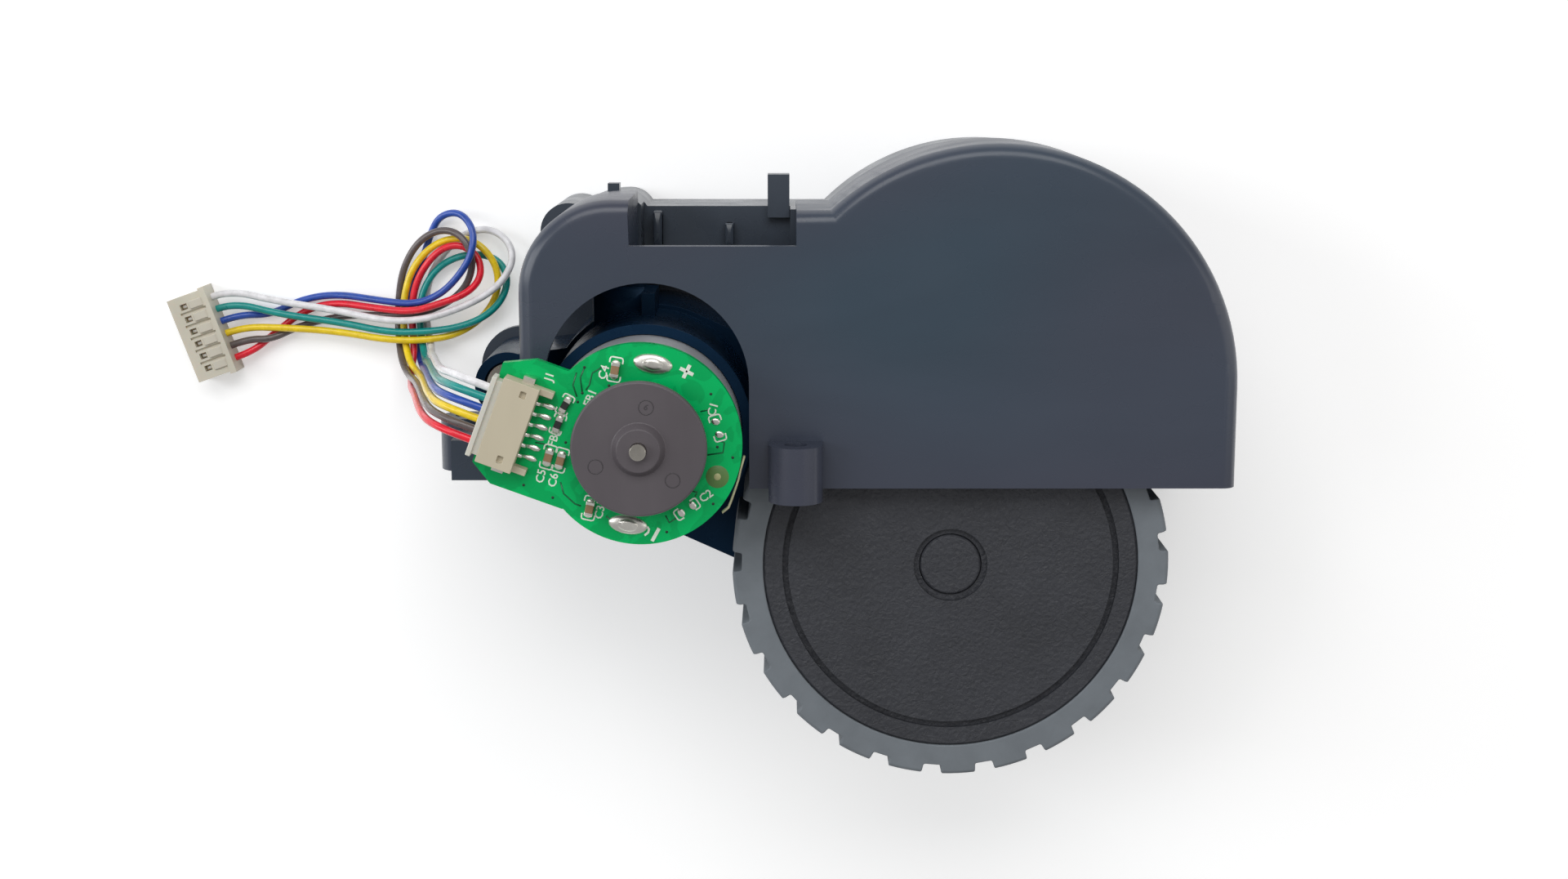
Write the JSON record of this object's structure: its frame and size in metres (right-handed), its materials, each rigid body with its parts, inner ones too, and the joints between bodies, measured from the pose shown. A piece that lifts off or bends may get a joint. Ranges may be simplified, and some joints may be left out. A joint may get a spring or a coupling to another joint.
{
  "type": "robot vacuum wheel module",
  "caption": "Drive wheel module of a robot vacuum: a swinging gear case with motor, encoder board, wires and treaded wheel, hung on a spring-loaded pivot in a moulded housing.",
  "frame": {"origin": "the suspension pivot's axis on the flat back of the inner frame", "axes": "+X from the pivot towards the wheel, along the housing; +Y towards the side that sits inside the robot; +Z from the flat back to the printed board. The module lies on its back."},
  "size_m": [0.1573, 0.0899, 0.0572],
  "materials": {
    "housing_plastic": "moulded dark blue-grey ABS, semi-gloss",
    "frame_plastic": "moulded dark blue-grey ABS, semi-gloss",
    "case_plastic": "moulded dark blue-grey ABS, semi-gloss",
    "hub_plastic": "fine leather grain, matt",
    "tyre_rubber": "moulded grey rubber, matt",
    "zinc_screw": "zinc plated",
    "pin_steel": "ground steel",
    "spring_steel": "drawn spring wire",
    "motor_steel": "plated deep-drawn steel",
    "magnet_ferrite": "sintered ferrite, matt",
    "end_cap_plastic": "moulded black nylon",
    "bushing_bronze": "sintered bronze",
    "gear_plastic": "natural acetal",
    "tinned_metal": "tinned, bright",
    "board_green": "green solder mask, glossy",
    "header_nylon": "beige moulded nylon",
    "connector_nylon": "natural white moulded nylon",
    "chip_ceramic": "fired ceramic chip with tinned ends",
    "chip_black": "black moulded epoxy",
    "armature_copper": "enamelled winding on a steel core",
    "disc_magnet": "plastic-bonded ferrite, satin",
    "wire_white": "PVC insulation",
    "wire_teal": "PVC insulation",
    "wire_blue": "PVC insulation",
    "wire_yellow": "PVC insulation",
    "wire_brown": "PVC insulation",
    "wire_red": "PVC insulation"
  },
  "bodies": {
    "housing": {"outer_housing": "housing_plastic", "inner_frame": "frame_plastic", "housing_screws": "zinc_screw", "pivot_pin": "pin_steel", "suspension_spring": "spring_steel"},
    "arm": {"gear_case_front": "case_plastic", "gear_case_rear": "case_plastic", "case_screws": "zinc_screw", "gear_axle_1": "pin_steel", "gear_axle_2": "pin_steel", "output_bushing_front": "bushing_bronze", "output_bushing_rear": "bushing_bronze", "motor_can": "motor_steel", "motor_screws": "zinc_screw", "motor_flux_ring": "motor_steel", "motor_magnets": "magnet_ferrite", "motor_end_cap": "end_cap_plastic", "brush_terminals": "tinned_metal", "terminal_solder": "tinned_metal", "encoder_board": "board_green", "board_header": "header_nylon", "header_tabs": "tinned_metal", "wire_plug": "connector_nylon", "header_pins": "tinned_metal", "capacitors": "chip_ceramic", "ferrite_beads": "chip_ceramic", "hall_sensors": "chip_black", "wire_white": "wire_white", "wire_teal": "wire_teal", "wire_blue": "wire_blue", "wire_yellow": "wire_yellow", "wire_brown": "wire_brown", "wire_red": "wire_red", "far_connector": "connector_nylon", "far_contacts": "tinned_metal"},
    "wheel": {"wheel_hub": "hub_plastic", "tyre": "tyre_rubber", "hub_cap": "hub_plastic", "wheel_screw": "zinc_screw", "output_shaft": "pin_steel", "output_gear": "gear_plastic"},
    "gear_1": {"reduction_gear_1": "gear_plastic"},
    "gear_2": {"reduction_gear_2": "gear_plastic"},
    "rotor": {"motor_shaft": "pin_steel", "motor_pinion": "bushing_bronze", "motor_armature": "armature_copper", "encoder_disc": "disc_magnet"}
  },
  "joints": [
    {"name": "suspension_swing", "type": "hinge", "parent": "housing", "child": "arm", "pos_m": [0, 0, 0], "axis": [0, 0, 1], "range_deg": [0, 17], "stiffness_Nm_per_rad": 0.5, "springref_deg": -34.38, "deforming": ["suspension_spring"]},
    {"name": "wheel_spin", "type": "hinge", "parent": "arm", "child": "wheel", "pos_m": [0.0641, -0.02292, 0.031], "axis": [0, 0, 1], "continuous": true},
    {"name": "gear_2_spin", "type": "hinge", "parent": "arm", "child": "gear_2", "pos_m": [0.0488, -0.01598, 0.01], "axis": [0, 0, 1], "continuous": true},
    {"name": "gear_1_spin", "type": "hinge", "parent": "arm", "child": "gear_1", "pos_m": [0.03405, -0.00928, 0.01], "axis": [0, 0, 1], "continuous": true},
    {"name": "rotor_spin", "type": "hinge", "parent": "arm", "child": "rotor", "pos_m": [0.0213, -0.0035, 0.03], "axis": [0, 0, 1], "continuous": true}
  ],
  "couplings": [
    {"joint": "gear_2_spin", "follows": "wheel_spin", "ratio": -3},
    {"joint": "gear_1_spin", "follows": "wheel_spin", "ratio": 10.5},
    {"joint": "rotor_spin", "follows": "wheel_spin", "ratio": -38.5}
  ]
}
